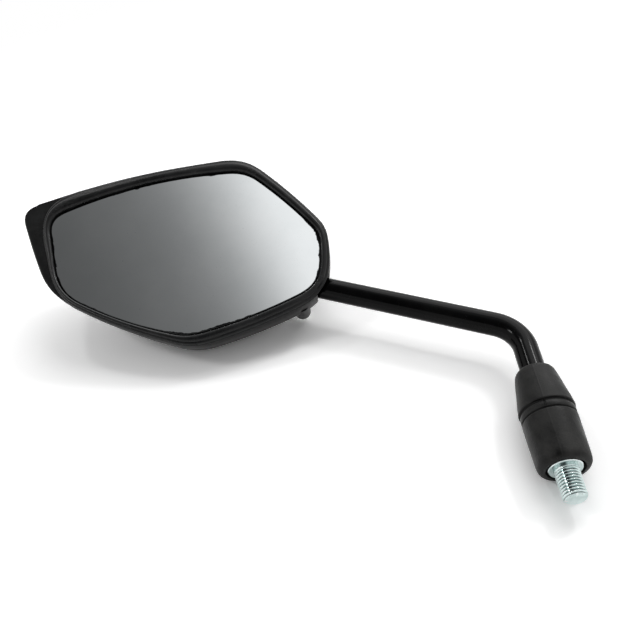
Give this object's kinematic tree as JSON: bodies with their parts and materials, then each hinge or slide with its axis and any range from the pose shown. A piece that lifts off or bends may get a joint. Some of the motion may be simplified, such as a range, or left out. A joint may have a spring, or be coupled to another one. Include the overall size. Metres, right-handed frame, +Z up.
{
  "type": "motorcycle mirror",
  "caption": "Left-hand motorcycle mirror: six-sided black head with convex glass on a ball joint, bent round stem, rubber boot and threaded stud.",
  "frame": {"origin": "centre of the stud adapter's shoulder face, where the stud's thread ends", "axes": "+Z up the stud's and the leg's common axis, the stud pointing to -Z; the arm leaves towards -X; the glass looks towards the rider at -Y"},
  "size_m": [0.2463, 0.061, 0.1991],
  "materials": {
    "shell_plastic": "fine satin grain, black",
    "bezel_plastic": "semi-gloss black",
    "mirror_glass": "convex mirror, coated on its back, ground edge",
    "foam_tape": "grey closed-cell foam",
    "liner_nylon": "natural nylon",
    "retainer_paint": "black e-coated pressed steel",
    "stem_paint": "gloss black powder coat",
    "zinc_steel": "zinc plated",
    "adapter_zinc": "bright zinc plate, slightly blue",
    "boot_rubber": "satin black rubber",
    "screw_steel": "zinc plated"
  },
  "bodies": {
    "adapter": {"stud_adapter": "adapter_zinc"},
    "stem": {"mirror_stem": "stem_paint", "lock_nut": "zinc_steel", "lock_washer": "zinc_steel"},
    "boot": {"rubber_boot": "boot_rubber"},
    "liner": {"liner_front": "liner_nylon", "liner_rear": "liner_nylon"},
    "head": {"rear_shell": "shell_plastic", "front_bezel": "bezel_plastic", "mirror_glass": "mirror_glass", "glass_tape": "foam_tape", "ball_retainer": "retainer_paint", "clamp_screw_1": "screw_steel", "clamp_screw_2": "screw_steel", "clamp_screw_3": "screw_steel", "spring_washer_1": "screw_steel", "spring_washer_2": "screw_steel", "spring_washer_3": "screw_steel"}
  },
  "joints": [
    {"name": "stem_swivel", "type": "hinge", "parent": "adapter", "child": "stem", "pos_m": [0, 0, 0], "axis": [0, 0, 1], "range_deg": [-60, 60]},
    {"name": "boot_slide", "type": "slide", "parent": "stem", "child": "boot", "axis": [0, 0, 1], "range_m": [0, 0.011]},
    {"name": "head_spin", "type": "hinge", "parent": "stem", "child": "liner", "pos_m": [-0.10816, 0, 0.12951], "axis": [0.8829, 0, -0.4695], "range_deg": [-20, 20]},
    {"name": "head_pan", "type": "hinge", "parent": "liner", "child": "head", "pos_m": [-0.10816, 0, 0.12951], "axis": [-0.4415, 0.3398, -0.8304], "range_deg": [-1, 12]}
  ]
}
